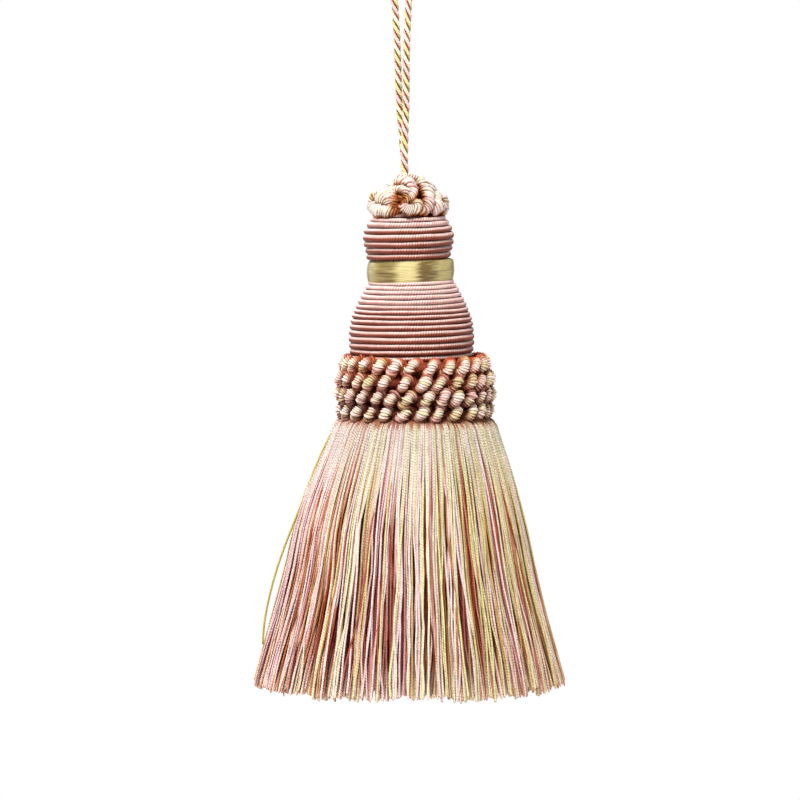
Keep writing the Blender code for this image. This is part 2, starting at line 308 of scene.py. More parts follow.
# --- materials -----------------------------------------------------------------------------
class Look:
    """A material made of nodes."""

    def __init__(self, name, roughness, **fixed):
        self.mat = bpy.data.materials.new(name)
        self.mat.use_nodes = True
        self.tree = self.mat.node_tree
        self.shader = self.tree.nodes["Principled BSDF"]
        self.shader.inputs["Roughness"].default_value = roughness
        for socket, value in fixed.items():
            self.shader.inputs[socket.replace("_", " ")].default_value = value

    def node(self, kind, **settings):
        made = self.tree.nodes.new(kind)
        for key, value in settings.items():
            setattr(made, key, value)
        return made

    def put(self, value, socket):
        if isinstance(value, bpy.types.NodeSocket):
            self.tree.links.new(value, socket)
        else:
            socket.default_value = value

    def math(self, what, *values):
        made = self.node("ShaderNodeMath", operation=what)
        for value, socket in zip(values, made.inputs):
            self.put(value, socket)
        return made.outputs[0]

    def mix(self, share, a, b, kind="MIX"):
        made = self.node("ShaderNodeMix", data_type="RGBA", blend_type=kind)
        self.put(share, made.inputs[0])
        self.put(a if isinstance(a, bpy.types.NodeSocket) else (*a, 1.0), made.inputs[6])
        self.put(b if isinstance(b, bpy.types.NodeSocket) else (*b, 1.0), made.inputs[7])
        return made.outputs[2]

    def around_along(self):
        """The place round a tube, 0 to 1, and along it in millimetres."""
        uv = self.node("ShaderNodeUVMap", uv_map="yarn").outputs[0]
        split = self.node("ShaderNodeSeparateXYZ")
        self.put(uv, split.inputs[0])
        return split.outputs[0], split.outputs[1]

    def point(self, x, y, z=0.0):
        made = self.node("ShaderNodeCombineXYZ")
        for value, socket in zip((x, y, z), made.inputs):
            self.put(value, socket)
        return made.outputs[0]

    def noise(self, place, scale, detail=2.0):
        made = self.node("ShaderNodeTexNoise")
        self.put(place, made.inputs["Vector"])
        made.inputs["Scale"].default_value = scale
        made.inputs["Detail"].default_value = detail
        return made.outputs[0]

    def ramp(self, value, stops, constant=False):
        made = self.node("ShaderNodeValToRGB")
        made.color_ramp.interpolation = "CONSTANT" if constant else "LINEAR"
        while len(made.color_ramp.elements) < len(stops):
            made.color_ramp.elements.new(0.5)
        for element, (spot, colour) in zip(made.color_ramp.elements, stops):
            element.position = spot
            element.color = (*colour, 1.0)
        self.put(value, made.inputs[0])
        return made.outputs[0]

    def grey(self, value):
        made = self.node("ShaderNodeCombineColor")
        for socket in made.inputs[:3]:
            self.put(value, socket)
        return made.outputs[0]

    def tint(self):
        return self.node("ShaderNodeAttribute", attribute_name="tint").outputs["Color"]

    def bump(self, height, depth):
        made = self.node("ShaderNodeBump")
        made.inputs["Strength"].default_value = 1.0
        made.inputs["Distance"].default_value = depth * MM
        self.put(height, made.inputs["Height"])
        self.put(made.outputs[0], self.shader.inputs["Normal"])

    def colour(self, value):
        self.put(value, self.shader.inputs["Base Color"])
        return self.mat


def yarn_look(name, pitch, plies, roughness, depth, groove, mottle, **fixed):
    """Twisted yarn: its plies show as slanted ridges, with loose fibres along them and shade painted in the grooves
    between the plies.
    """
    look = Look(name, roughness, **fixed)
    u, v = look.around_along()
    turn = look.math("ADD", look.math("MULTIPLY", v, 1.0 / pitch), look.math("MULTIPLY", u, plies))
    ridge = look.math("MULTIPLY_ADD", look.math("SINE", look.math("MULTIPLY", turn, TAU)), 0.5, 0.5)
    fibre = look.noise(look.point(look.math("MULTIPLY", u, 5.0), look.math("MULTIPLY", v, 0.35)), 2.2, 3.0)
    slub = look.noise(look.point(look.math("MULTIPLY", v, 0.22), 3.7), 1.0, 1.0)
    fleck = look.noise(look.point(look.math("MULTIPLY", u, 2.2), look.math("MULTIPLY", v, 1.7), 9.3), 1.0, 1.0)
    plain = look.node("ShaderNodeAttribute", attribute_name="tint").outputs["Alpha"]
    # Painted shade in the grooves between the plies.
    painted_groove_shade = look.math("MULTIPLY", look.math("SUBTRACT", 1.0, ridge), groove)
    shade = look.math("SUBTRACT", 1.0, look.math("MULTIPLY", painted_groove_shade, plain))
    shade = look.math("MULTIPLY", shade, look.math("MULTIPLY_ADD", fibre, 0.5, 0.78))
    shade = look.math("MULTIPLY", shade, look.math("MULTIPLY_ADD", slub, 0.3, 0.86))
    shade = look.math("MULTIPLY", shade, look.math("MULTIPLY_ADD", fleck, mottle, 1.0 - 0.45 * mottle))
    look.bump(look.math("MULTIPLY_ADD", fibre, 0.35, look.math("MULTIPLY", ridge, plain)), depth)
    return look.colour(look.mix(1.0, look.tint(), look.grey(shade), "MULTIPLY"))


def wrapped_look(name, pitch, slant, palette, crevice, narrow, roughness, depth, **fixed):
    """A strand wrapped in silk: its colour drifts from thread to thread, with shade painted between them.

    The tint's alpha is how plainly that painted shade shows.
    """
    look = Look(name, roughness, **fixed)
    u, v = look.around_along()
    turn = look.math("ADD", look.math("MULTIPLY", v, 1.0 / pitch), look.math("MULTIPLY", u, slant))
    uneven = look.noise(look.point(look.math("MULTIPLY", u, 2.5), look.math("MULTIPLY", v, 0.9)), 1.0, 2.0)
    turn = look.math("ADD", turn, look.math("MULTIPLY_ADD", uneven, 0.5, -0.25))
    thread = look.math("FLOOR", turn)
    pick = look.node("ShaderNodeTexWhiteNoise", noise_dimensions="1D")
    look.put(thread, pick.inputs["W"])
    drift = look.noise(look.point(look.math("MULTIPLY", thread, 0.10), 7.1), 1.0, 1.0)
    spot = look.math("MULTIPLY_ADD", pick.outputs[0], 0.46, look.math("MULTIPLY_ADD", drift, 1.5, -0.48))
    stops = [(i / (len(palette) - 1), colour) for i, colour in enumerate(palette)]
    silk = look.ramp(spot, stops)
    place = look.math("FRACT", turn)
    across = look.math("ABSOLUTE", look.math("MULTIPLY_ADD", place, 2.0, -1.0))
    hill = look.math("SQRT", look.math("MAXIMUM", look.math("SUBTRACT", 1.0, look.math("MULTIPLY", across, across)), 0.0))
    fibre = look.noise(look.point(look.math("MULTIPLY", u, 3.0), look.math("MULTIPLY", v, 4.0)), 3.0, 2.0)
    silk = look.mix(1.0, silk, look.grey(look.math("MULTIPLY_ADD", fibre, 0.6, 0.72)), "MULTIPLY")
    plain = look.node("ShaderNodeAttribute", attribute_name="tint").outputs["Alpha"]
    # Shade painted in the groove between one thread and the next.
    gap = look.math("MULTIPLY", look.math("SUBTRACT", 1.0, look.math("POWER", hill, narrow)), plain)
    silk = look.mix(gap, silk, crevice)
    look.bump(look.math("MULTIPLY_ADD", fibre, 0.25, hill), depth)
    return look.colour(look.mix(1.0, silk, look.tint(), "MULTIPLY"))


WHITE = paint(232, 222, 210)
CREAM = paint(226, 216, 194)
PALE_PINK = paint(226, 209, 206)
PINK = paint(222, 193, 197)
PALE_YELLOW = paint(206, 203, 148)
GOLD = paint(196, 172, 106)
TAN = paint(182, 130, 84)
ROSE = paint(190, 126, 114)
DUSTY = paint(160, 82, 66)
RUST = paint(166, 84, 42)
UMBER = paint(120, 52, 32)

cord_look = yarn_look("cord_yarn", 1.1, 3.0, 0.36, 0.06, 0.34, 0.2, Specular_IOR_Level=0.3)
fringe_look = yarn_look("fringe_yarn", 0.72, 1.0, 0.40, 0.12, 0.44, 0.75, Specular_IOR_Level=0.07)
COLLAR_SLANT, ROSETTE_SLANT = -3, 5
# Each wrapped look: its threads' colours, then the colour of the shade painted between the threads.
rope_look = wrapped_look("rope_silk", 0.46, COLLAR_SLANT,
                         [paint(206, 156, 148), paint(222, 190, 182), paint(230, 210, 202), paint(222, 208, 182),
                          paint(204, 194, 148), paint(196, 154, 126)],
                         paint(104, 30, 18), 2.0, 0.42, 0.12, Specular_IOR_Level=0.10)
rosette_look = wrapped_look("rosette_silk", 0.56, ROSETTE_SLANT,
                            [paint(190, 120, 112), paint(206, 178, 178), paint(220, 212, 210), paint(212, 206, 188),
                             paint(172, 174, 118), paint(170, 114, 74)],
                            paint(130, 48, 14), 2.4, 0.42, 0.12, Specular_IOR_Level=0.10)
gimp_look = wrapped_look("gimp_silk", 0.66, 2.0,
                         [paint(236, 204, 198), paint(240, 214, 208), paint(232, 196, 188), paint(242, 218, 212)],
                         paint(150, 84, 70), 1.4, 0.42, 0.08, Specular_IOR_Level=0.12)


# --- hanging cord --------------------------------------------------------------------------
def cord_table(t, key):
    """Reads the cord's table at a share t of the way down it."""
    column = [row[key] for row in CORD_ROWS]
    spot = t * (len(column) - 1)
    i = min(int(spot), len(column) - 2)
    f = spot - i
    p = [column[min(max(i + k, 0), len(column) - 1)] for k in (-1, 0, 1, 2)]
    return 0.5 * (2.0 * p[1] + (p[2] - p[0]) * f
                  + (2.0 * p[0] - 5.0 * p[1] + 4.0 * p[2] - p[3]) * f * f
                  + (3.0 * (p[1] - p[2]) + p[3] - p[0]) * f ** 3)


def cord_leg(side, count):
    points = []
    for i in range(count):
        z, mid, half, turn = (cord_table(i / (count - 1), key) for key in range(4))
        turn = math.radians(turn)
        points.append((mid + side * half * math.cos(turn), -side * half * math.sin(turn), z))
    return points


def cord_route():
    """Up the left leg, over the crown and down the right leg."""
    crown_z = -LOOP_R + CORD_D / 2.0
    crown = [(LOOP_R * math.cos(a), 0.0, crown_z + LOOP_R * math.sin(a))
             for a in np.linspace(math.pi, 0.0, 41)]
    left, right = cord_leg(-1, 121), cord_leg(1, 121)
    for leg in (left, right):
        x, y, _ = leg[-1]
        leg.extend((x, y, CORD_ROWS[-1][0] - 0.5 * k) for k in range(1, 5))
    return np.array(left[::-1] + crown + right)


def hanging_cord():
    route = spread_evenly(cord_route(), 0.26)
    length = np.linalg.norm(np.diff(route, axis=0), axis=1).sum()
    across = carried(route, (0.0, -1.0, 0.0))
    t = tangents(route, False)
    other = np.cross(t, across)
    s = np.concatenate([[0.0], np.cumsum(np.linalg.norm(np.diff(route, axis=0), axis=1))])
    tubes = Tubes()
    # Each ply's colour, then the colour of the shade painted on its inner side.
    colours = [(paint(222, 208, 152), paint(126, 88, 14)), (paint(232, 224, 196), paint(150, 106, 42)),
               (paint(228, 198, 192), paint(166, 56, 40))]
    for ply, (colour, edge) in enumerate(colours):
        turn = -TAU * s / 7.6 + TAU * ply / 3.0 + 0.4
        out = np.cos(turn)[:, None] * across + np.sin(turn)[:, None] * other
        line = route + 0.50 * out
        spot = np.cos(TAU * s / 23.0 + ply * 2.1)
        tint = colour * (1.0 + 0.06 * spot[:, None])
        fat = 0.455 * (1.0 + 0.03 * np.sin(TAU * s / 5.3 + ply))
        a = TAU * np.arange(12) / 12 + math.pi
        # Painted shade: each ply turns to its shade colour on its inner side, where it meets the others.
        shade = step(np.cos(a), -0.05, 0.98)[None, None, :, None]
        tint = edge * (1.0 - shade) * (0.60 + 0.40 * step(np.cos(a), -0.7, 0.4))[None, None, :, None] + tint[None, :, None] * shade
        tubes.add(line, out, fat[None, :, None], 12, tint)
    return tubes.make("cord_plies", cord_look), route, length


# --- wound gimp ----------------------------------------------------------------------------
def winding(name, rows, turns, middle_x, start, end, core_tint, pale, seed):
    """Gimp cord wound down the mould, rising to the right at the front."""
    rng = np.random.default_rng(seed)
    first, last = 0.0 + start, len(turns) - 2.0 - end
    t = np.linspace(first, last, int((last - first) * TAU * 13.0 / 0.34))
    bounds = np.asarray(turns)
    number = np.arange(len(turns))
    upper = np.interp(t, number, bounds)
    lower = np.interp(t + 1.0, number, bounds)
    z = 0.5 * (upper + lower)
    half = 0.5 * (upper - lower)
    wobble = 0.035 * np.sin(t * TAU * 3.3 + 1.0) + 0.03 * np.sin(t * TAU * 7.7)
    deep = 0.78
    tucked = 1.0 - step(t - first, 0.0, 0.07) * step(last - t, 0.0, 0.07)
    r = radius_at(rows, z) - deep + 0.5 * wobble - 1.3 * tucked
    angle = FRONT - TAU * t
    line = np.stack([middle_x + r * np.cos(angle), r * np.sin(angle), z + wobble], axis=1)
    line = spread_evenly(line, 0.22)
    n = len(line)
    share = np.linspace(0.0, 1.0, n)
    half = np.interp(share, np.linspace(0.0, 1.0, len(half)), half)
    out = line - np.array([middle_x, 0.0, 0.0])
    out[:, 2] = 0.0
    out = unit(out)
    sides = 10
    a = TAU * np.arange(sides) / sides + math.pi
    wraps = np.arange(n)[:, None] / 3.0 + 2.0 * np.arange(sides)[None] / sides
    hill = np.sqrt(np.maximum(1.0 - (2.0 * (wraps % 1.0) - 1.0) ** 2, 0.0))
    fat = deep - 0.055 * (1.0 - hill) + rng.normal(0.0, 0.010, (n, 1))
    # Painted highlight along the top of each turn, and painted shade, russet, below it, down to the groove.
    painted_turn_shades = np.array([[0.025, 0.004, 0.004], [0.055, 0.009, 0.007], [0.17, 0.044, 0.020], [0.30, 0.096, 0.052],
                       [0.84, 0.84, 0.84], [0.84, 0.86, 0.87]])
    spots = [-1.0, -0.88, -0.50, 0.14, 0.56, 1.0]
    level = np.sin(a)[None] + 0.42 * (hill - 0.6)
    tint = np.stack([np.interp(level, spots, painted_turn_shades[:, k]) for k in range(3)], axis=-1)
    # Painted shade on the side of each turn that faces in.
    depth = step(np.cos(a), -0.25, 0.28)[:, None]
    tint = tint * (np.array([0.12, 0.04, 0.04]) * (1.0 - depth) + depth)
    # The uppermost turns lie nearly flat and face the light: they are painted pale all over, a painted highlight,
    # keeping only the painted shade on the side that faces in.
    flat = pale[0] * step(line[:, 2], *pale[1:])[:, None, None]
    tint = tint * (1.0 - flat) + 1.0 * flat * depth
    drift = 1.0 + 0.05 * np.sin(share * 37.0)[:, None, None] + rng.normal(0.0, 0.05, (n, 1, 1))
    tubes = Tubes()
    tubes.add(line, out, fat[None], sides, (tint * drift)[None],
              oval=(half * 1.04 / deep)[None, :, None], along=(np.arange(n) * 0.22)[None])
    # The mould, under the turns.
    zs = np.linspace(rows[0][0] - 0.1, rows[-1][0] + 0.1, 24)
    tubes.add(np.stack([np.full(24, middle_x), np.zeros(24), zs], axis=1)[None],
              np.array([0.0, 1.0, 0.0]), (radius_at(rows, zs) - 1.1)[None, :, None], 48,
              core_tint, along=np.linspace(0, 10, 24)[None])
    return tubes.make(name, gimp_look)


# --- neck band -----------------------------------------------------------------------------
# Painted highlights and painted shade on the floss, round the neck band.
PAINTED_GLOSS = [                      # degrees from the front, how wide, how much lighter or darker
    (-4, 14, 1.72), (19, 8.5, 0.44), (32, 7, 0.74), (52, 15, 1.60), (-38, 15, 0.72), (78, 12, 1.15), (104, 7, 0.72),
    (142, 14, 1.25),
    (167, 6, 0.58), (205, 12, 1.2), (238, 8, 0.7), (262, 12, 1.15), (-60, 10, 1.08),
]
STREAKS = [                    # the same, for a few threads only: thread, then as above
    (15, -36, 15, 0.42), (14, 50, 24, 0.66), (20, -33, 8, 0.55), (26, -30, 9, 0.55), (5, -34, 10, 0.66),
    (22, -44, 9, 1.35), (12, -26, 8, 1.40), (8, -48, 12, 1.25), (17, -22, 6, 0.55), (3, 3, 9, 1.18),
    (10, 10, 6, 0.62), (21, 11, 7, 0.60), (6, 28, 9, 1.45), (16, 30, 8, 0.66), (25, 36, 12, 1.30),
    (24, 128, 20, 0.6), (9, 190, 22, 0.66), (18, 250, 18, 0.6),
]


def neck_floss():
    """Silk floss wound round the neck: fine flat-lying threads, each a little out of line."""
    rng = np.random.default_rng(3)
    threads, around = 30, 144
    look = Look("gold_floss", 0.26, Anisotropic=0.75, Specular_IOR_Level=0.5)
    u, v = look.around_along()
    streak = look.noise(look.point(look.math("MULTIPLY", v, 0.05), look.math("MULTIPLY", u, 40.0)), 3.0, 3.0)
    fine = look.noise(look.point(look.math("MULTIPLY", v, 0.4), look.math("MULTIPLY", u, 90.0)), 2.0, 2.0)
    gold = look.ramp(streak, [(0.30, paint(124, 100, 44)), (0.50, paint(186, 168, 104)),
                              (0.70, paint(220, 208, 160))])
    gold = look.mix(1.0, gold, look.grey(look.math("MULTIPLY_ADD", fine, 0.5, 0.75)), "MULTIPLY")
    tangent = look.node("ShaderNodeTangent", direction_type="UV_MAP", uv_map="yarn")
    look.put(tangent.outputs[0], look.shader.inputs["Tangent"])
    look.bump(fine, 0.02)
    mat = look.colour(look.mix(1.0, gold, look.tint(), "MULTIPLY"))

    top, bottom = -97.05, -102.1
    angle = TAU * np.arange(around) / around
    tubes = Tubes()
    z0 = np.linspace(top - 0.1, bottom + 0.1, threads)
    line = np.empty((threads, around, 3))
    fat = np.empty((threads, around, 1))
    for i in range(threads):
        stray = sum(rng.normal(0.0, 0.030) * np.sin(k * angle + rng.uniform(0, TAU)) for k in (1, 2, 3, 5))
        lift = sum(rng.normal(0.0, 0.020) * np.sin(k * angle + rng.uniform(0, TAU)) for k in (2, 3, 4, 7))
        z = z0[i] + stray + 0.36 * np.cos(angle)
        r = radius_at(NECK_ROWS, np.full(around, z0[i])) - 0.16 + lift
        line[i] = np.stack([r * np.cos(angle), r * np.sin(angle), z], axis=1)
        fat[i, :, 0] = 0.155 + 0.02 * rng.random()
    out = line.copy()
    out[..., 2] = 0.0
    # The floss lies glossy here and dull there, as its twist turns.
    # Painted highlight and painted shade: the floss's colour is made lighter here and darker there, standing in for
    # its gloss.
    level = np.full((threads, around), 0.60)
    degrees = (np.degrees(angle - FRONT) + 180.0) % 360.0 - 180.0
    for middle, wide, change in PAINTED_GLOSS:
        ragged = rng.normal(0.0, 2.6, (threads, 1))
        ragged = 0.5 * ragged + 0.5 * np.roll(ragged, 1, axis=0) + 2.4 * np.sin(np.arange(threads)[:, None] * 0.31 + middle)
        off = (degrees[None] - middle - ragged + 180.0) % 360.0 - 180.0
        level *= 1.0 + (change - 1.0) * np.exp(-(off / (wide * (1.0 + 0.25 * rng.random((threads, 1))))) ** 4)
    for i, middle, wide, change in STREAKS:
        off = (degrees - middle + 180.0) % 360.0 - 180.0
        near = np.exp(-((np.arange(threads)[:, None] - i) / 1.1) ** 2)
        level *= 1.0 + (change - 1.0) * near * np.exp(-(off[None] / wide) ** 4)
    painted_light_and_shade = np.stack([level, level * (0.78 + 0.24 * step(level, 0.20, 0.70)),
                     level * (0.50 + 0.46 * step(level, 0.20, 0.70) + 0.26 * step(level, 0.66, 0.90))], axis=-1)
    tubes.add(line, out, fat, 6, painted_light_and_shade[:, :, None, :], closed=True)
    zs = np.linspace(top + 0.5, bottom - 0.5, 14)
    tubes.add(np.stack([np.zeros(14), np.zeros(14), zs], axis=1)[None], np.array([0.0, 1.0, 0.0]),
              (radius_at(NECK_ROWS, zs) - 0.28)[None, :, None], 72, 0.35)
    return tubes.make("neck_floss", mat)


# --- rope collar ---------------------------------------------------------------------------
def painted_crevice_shade(share, painted_light_and_shade):
    """Painted shade: the tint for a place that share of the way out of a crevice, 0 to 1."""
    share = np.asarray(share)[..., None]
    return 0.3 * (painted_light_and_shade * (1.0 - share) + share) + 0.7 * painted_light_and_shade ** (1.0 - share)


def ridged(line, out, thick, sides, relief, pitch, samples, slant):
    """A strand wrapped in thread: its radius at every ring and side, and how far along it is.

    The line's points are pitch / samples apart. Some threads are wider or stand prouder than others, and
    slant of them are wrapped side by side.
    """
    n = len(line)
    rng = np.random.default_rng(n)
    wraps = round(n / samples)
    share = np.arange(n) / n
    uneven = sum(rng.normal(0.0, size) * np.sin(TAU * round(wraps * k) * share + rng.uniform(0, TAU))
                 for k, size in ((0.06, 0.30), (0.11, 0.16), (0.19, 0.10), (0.31, 0.07)))
    along = share * wraps + uneven
    turn = along[:, None] + slant * np.arange(sides)[None] / sides
    hill = np.sqrt(np.maximum(1.0 - (2.0 * (turn % 1.0) - 1.0) ** 2, 0.0))
    hill = 0.4 * hill + 0.3 - 0.3 * np.cos(TAU * turn)
    proud = rng.normal(0.0, 0.16, wraps + 40)[np.floor(turn).astype(int) + 20]
    return thick - relief * (1.0 - hill) + proud, along * pitch


def surface(line, out, fat, sides, closed=True):
    """The places on a strand's surface, before it is made."""
    a = TAU * np.arange(sides) / sides + math.pi
    t = tangents(line, closed)
    n = unit(out - (out * t).sum(-1, keepdims=True) * t)
    b = np.cross(t, n)
    return line[:, None] + fat[..., None] * (np.cos(a)[:, None] * n[:, None] + np.sin(a)[:, None] * b[:, None])


COLLAR_BUMPS = [                # how many on each course, and where one stands, degrees from the front
    (25, -1.9), (26, 5.3), (28, 8.0), (26, 5.0),
]


def rope_course(i, height, ring_r):
    """One course of the collar: a wrapped strand that coils round a core, bump after bump."""
    strand_r, coil_r, pitch, samples, sides = 1.38, 1.18, 0.46, 4, 14
    rng = np.random.default_rng(40 + i)
    tubes = Tubes()
    fine = np.linspace(0.0, TAU, 2800, endpoint=False)
    drift = sum(rng.normal(0.0, 0.24) * np.sin(k * fine + rng.uniform(0, TAU)) for k in (3, 5, 8, 13, 19))
    count, shift = COLLAR_BUMPS[i]
    phase = count * (fine - FRONT - math.radians(shift)) + drift
    size = 1.0 + sum(rng.normal(0.0, 0.09) * np.sin(k * fine + rng.uniform(0, TAU)) for k in (4, 7, 11, 17, 23))
    r = ring_r + coil_r * size * np.cos(phase)
    sag = 0.13 * np.sin(fine * 2 + i) + 0.12 * np.sin(fine * 7 + 2 * i)
    line = np.stack([COLLAR_X + r * np.cos(fine), r * np.sin(fine),
                     height + coil_r * size * np.sin(phase) + sag], axis=1)
    line = spread_evenly(line, pitch / samples, closed=True)
    n = len(line)
    centre = np.array([COLLAR_X, 0.0, 0.0])
    out = line - centre
    out[:, 2] = 0.0
    out = unit(out)
    swell = 1.0 + 0.06 * np.sin(np.arange(n) * 0.021 + i)[:, None]
    fat, along = ridged(line, out, strand_r * swell, sides, 0.56, pitch, samples, COLLAR_SLANT)
    points = surface(line, out, fat, sides)
    far = np.hypot(points[..., 0] - COLLAR_X, points[..., 1])
    # Painted shade, darker and redder, in the crevices between the bumps and on each strand's underside.
    share = step(far - ring_r, *((0.20, 1.90), (0.35, 2.15), (0.40, 2.20), (0.30, 2.05))[i])
    share = share * (0.40 + 0.60 * step((points[..., 2] - line[:, None, 2]) / fat, -0.95, -0.05))
    painted_light_and_shade = (np.array([0.50, 0.120, 0.055]), np.array([0.26, 0.050, 0.022]), np.array([0.13, 0.024, 0.010]),
            np.array([0.14, 0.026, 0.010]))[i]
    tubes.add(line, out, fat[None], sides, painted_crevice_shade(share, painted_light_and_shade)[None], closed=True, along=along[None],
              twist=(1.0 - 0.45 * share)[None, ..., None])
    # The core that the strand coils round, painted dark as the shade between the bumps.
    ring = np.linspace(0.0, TAU, 180, endpoint=False)
    core = np.stack([COLLAR_X + ring_r * np.cos(ring), ring_r * np.sin(ring), np.full(180, height)], axis=1)
    out = core - centre
    out[:, 2] = 0.0
    tubes.add(core, unit(out), 1.0, 10, painted_light_and_shade * 0.7, closed=True)
    return tubes.make(f"collar_rope_{i + 1}", rope_look)


# --- rosette -------------------------------------------------------------------------------
ROSETTE_PATH = [               # the strand's own centre, from the apex to the rim: radius, height
    (2.4, -77.6), (3.5, -78.1), (4.9, -79.2), (6.2, -80.5), (7.3, -81.9), (8.1, -83.3), (8.5, -84.5),
]
LOOPS = [                      # degrees from the front, half its width, how high it starts and how low it reaches
    (74, 11.5, 0.24, 0.96), (101, 13, 0.30, 0.98), (134, 14, 0.18, 0.95), (166, 12.5, 0.32, 0.98),
    (198, 14, 0.22, 0.94), (229, 12, 0.30, 0.98), (257, 12, 0.20, 0.95), (284, 11.5, 0.26, 0.97),
]
KNOT = [                       # the strands that show at the front: sideways, height as seen, lift, radius
    [(-2.38, -76.25, -0.5, 1.2), (-4.0, -78.0, -0.2, 1.4), (-5.88, -79.75, -0.1, 1.5),
     (-7.62, -81.12, -0.2, 1.4), (-8.75, -82.25, -0.6, 1.3)],
    [(-0.38, -76.25, -0.4, 1.2), (1.0, -76.62, 0, 1.4), (2.38, -77.75, 0.1, 1.5), (3.75, -79.5, 0, 1.4),
     (5.12, -81.12, -0.4, 1.3)],
    [(-5.12, -80.0, -0.9, 1.3), (-4.25, -78.75, 0.1, 1.6), (-2.62, -77.95, 0.5, 2.0),
     (-0.75, -78.12, 0.6, 1.8), (0.53, -79.25, 0.6, 1.35), (0.58, -80.62, 0.5, 1.2), (-0.5, -81.62, 0.3, 1.15),
     (-1.5, -82.25, -0.3, 1.0), (-2.12, -83.0, -1.4, 0.9)],
    [(0.38, -81.75, -0.6, 1.0), (1.58, -82.3, 0.4, 1.2), (1.75, -83.38, 0.8, 1.35), (0.62, -84.08, 1.0, 1.45),
     (-0.88, -84.0, 1.0, 1.4), (-1.92, -83.35, 0.7, 1.15), (-1.42, -82.55, -0.5, 0.8)],
    [(-3.0, -83.5, -0.9, 1.2), (-4.62, -84.2, 0.2, 1.5), (-6.88, -84.45, 0.4, 1.7), (-8.62, -83.88, 0.3, 1.6),
     (-8.88, -82.62, 0.3, 1.5), (-7.88, -81.2, 0.4, 1.6), (-6.25, -80.25, 0.5, 1.7), (-4.75, -80.88, 0.4, 1.5),
     (-3.92, -82.12, 0.1, 1.3), (-3.5, -83.25, -0.9, 1.1)],
    [(-7.5, -83.2, -0.2, 1.3), (-6.7, -82.0, 0.6, 1.8), (-5.4, -81.9, 0.6, 1.75),
     (-4.4, -83.0, -0.2, 1.3)],
    [(0.62, -77.25, -0.4, 1.2), (2.33, -78.12, 0.4, 1.5), (3.62, -79.75, 0.6, 1.65), (4.08, -81.62, 0.6, 1.7),
     (3.92, -83.12, 0.5, 1.6), (3.38, -84.08, 0.1, 1.3), (2.5, -83.75, -1.2, 1.0)],
    [(5.0, -78.75, -0.7, 1.2), (5.88, -80.38, 0, 1.4), (6.25, -82.12, 0.2, 1.5), (6.0, -83.62, 0.2, 1.5),
     (5.25, -84.5, -0.4, 1.3)],
    [(7.25, -81.0, -0.8, 1.1), (8.2, -82.12, -0.1, 1.3), (8.42, -83.5, 0.1, 1.3), (7.75, -84.58, -0.3, 1.2)],
]
KNOT.append([(-4.7, -81.2, -0.8, 1.1), (-4.0, -79.9, 0.0, 1.35), (-2.7, -79.35, 0.3, 1.55), (-1.3, -79.8, 0.3, 1.35),
             (-0.9, -81.0, -0.6, 1.0)])
KNOT.append([(-3.4, -79.6, -1.1, 0.9), (-2.9, -80.9, -0.9, 1.0), (-2.8, -82.2, -0.9, 1.0), (-3.0, -83.4, -1.1, 0.9)])
PITS = [                       # where its strands dive in, at the front: sideways, height as seen, reach
    (-2.7, -81.9, 2.9),
    (1.9, -81.3, 2.2),
    (2.75, -83.62, 2.1),
    (-3.3, -84.3, 2.1),
    (-1.5, -83.25, 1.0),
    (5.25, -83.25, 1.5),
    (-8.9, -81.0, 1.1),
    (7.4, -81.6, 1.2),
]


def on_dome(x, seen, lift):
    """A place on the rosette, from where it shows in a front view a little from above."""
    heights = [p[1] for p in ROSETTE_PATH][::-1]
    reaches = [p[0] for p in ROSETTE_PATH][::-1]
    z = seen.copy()
    for _ in range(12):
        r = np.interp(z, heights, reaches)
        front = np.sqrt(np.maximum(r ** 2 - (x - ROSETTE_X) ** 2, 0.4))
        z = seen - 0.044 * front
    out = unit(np.stack([x - ROSETTE_X, -front, z + 88.0], axis=1))
    return np.stack([x, -front, z], axis=1) + out * lift[:, None]


def wrapped_strand(tubes, line, middle, thick, closed, painted_light_and_shade):
    pitch, samples, sides = 0.56, 5, 14
    line = spread_evenly(line, pitch / samples, closed=closed)
    if line.shape[1] > 3:
        line, thick = line[:, :3], line[:, 3:]
    out = unit(line - middle)
    lumps = np.arange(len(line))[:, None] * pitch / samples
    thick = thick * (1.0 + 0.05 * np.sin(lumps * 1.9 + len(line)) + 0.04 * np.sin(lumps * 3.7))
    fat, along = ridged(line, out, thick + 0.12, sides, 0.72, pitch, samples, ROSETTE_SLANT)
    a = TAU * np.arange(sides) / sides + math.pi
    # Painted shade on the side of each strand that faces in.
    share = step(np.cos(a), -0.10, 0.92)[None, :] * np.ones((len(line), 1))
    # Painted shade: the threads fan into each pit, and turn golden and then dark rust as they go down.
    points = surface(line, out, fat, sides, closed)
    fan = share.copy()
    for x, seen, reach in PITS:
        spot = on_dome(np.array([x]), np.array([seen]), np.array([-0.4]))[0]
        away = np.linalg.norm(points - spot, axis=-1)
        share = share * (0.05 + 0.95 * step(away, 0.30 * reach, 1.62 * reach))
        fan = fan * step(away, 0.70 * reach, 2.30 * reach)
    golden = np.array([0.60, 0.26, 0.07])
    share = share[..., None]
    tint = np.where(share < 0.3, painted_light_and_shade + (golden - painted_light_and_shade) * share / 0.3,
                    golden + (1.0 - golden) * np.minimum((share - 0.3) / 0.5, 1.0))
    tubes.add(line, out, fat[None], sides, tint[None], closed=closed, along=along[None],
              twist=(2.2 - 1.15 * fan)[None, ..., None])


